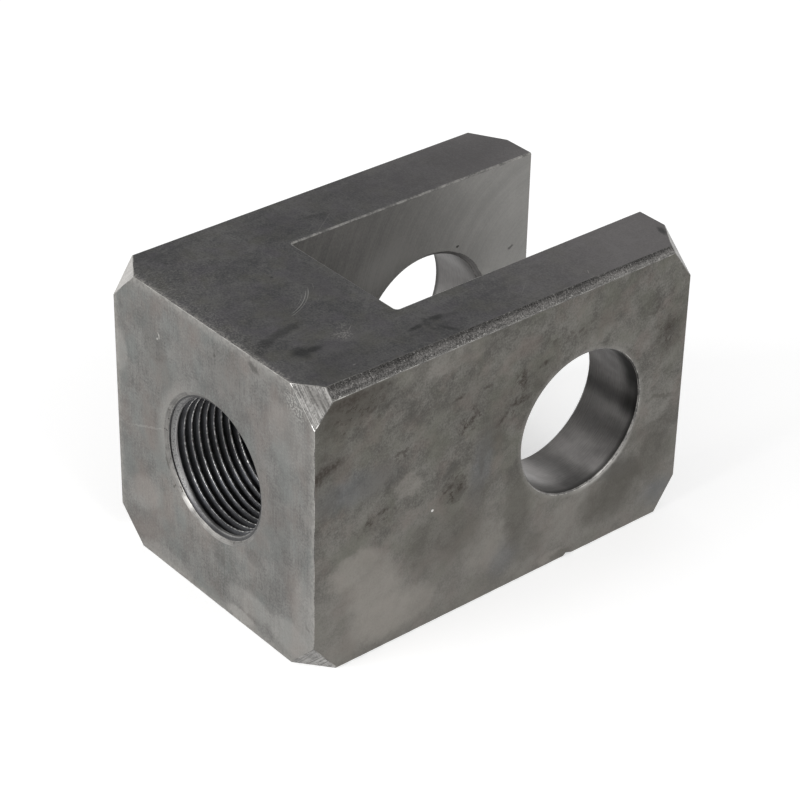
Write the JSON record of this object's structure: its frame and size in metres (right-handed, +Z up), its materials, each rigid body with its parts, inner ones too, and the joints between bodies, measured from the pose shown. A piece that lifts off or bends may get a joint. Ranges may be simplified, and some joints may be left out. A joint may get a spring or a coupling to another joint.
{
  "type": "threaded rod clevis",
  "caption": "Square steel rod clevis: a block with a slot between its ears, a plain pin bore across the ears and a tapped bore for the rod in the other end.",
  "frame": {"origin": "where the axis of the pin bore crosses the axis of the rod thread, in the middle of the slot", "axes": "+X along the pin bore, +Y from the threaded end to the ear tips along the rod's axis, +Z up"},
  "size_m": [0.07, 0.1055, 0.07],
  "materials": {
    "bare_steel": "bare machined steel, dark grey with brown and olive mottling, ground corners brighter"
  },
  "bodies": {
    "root": {"clevis_body": "bare_steel"}
  },
  "joints": []
}
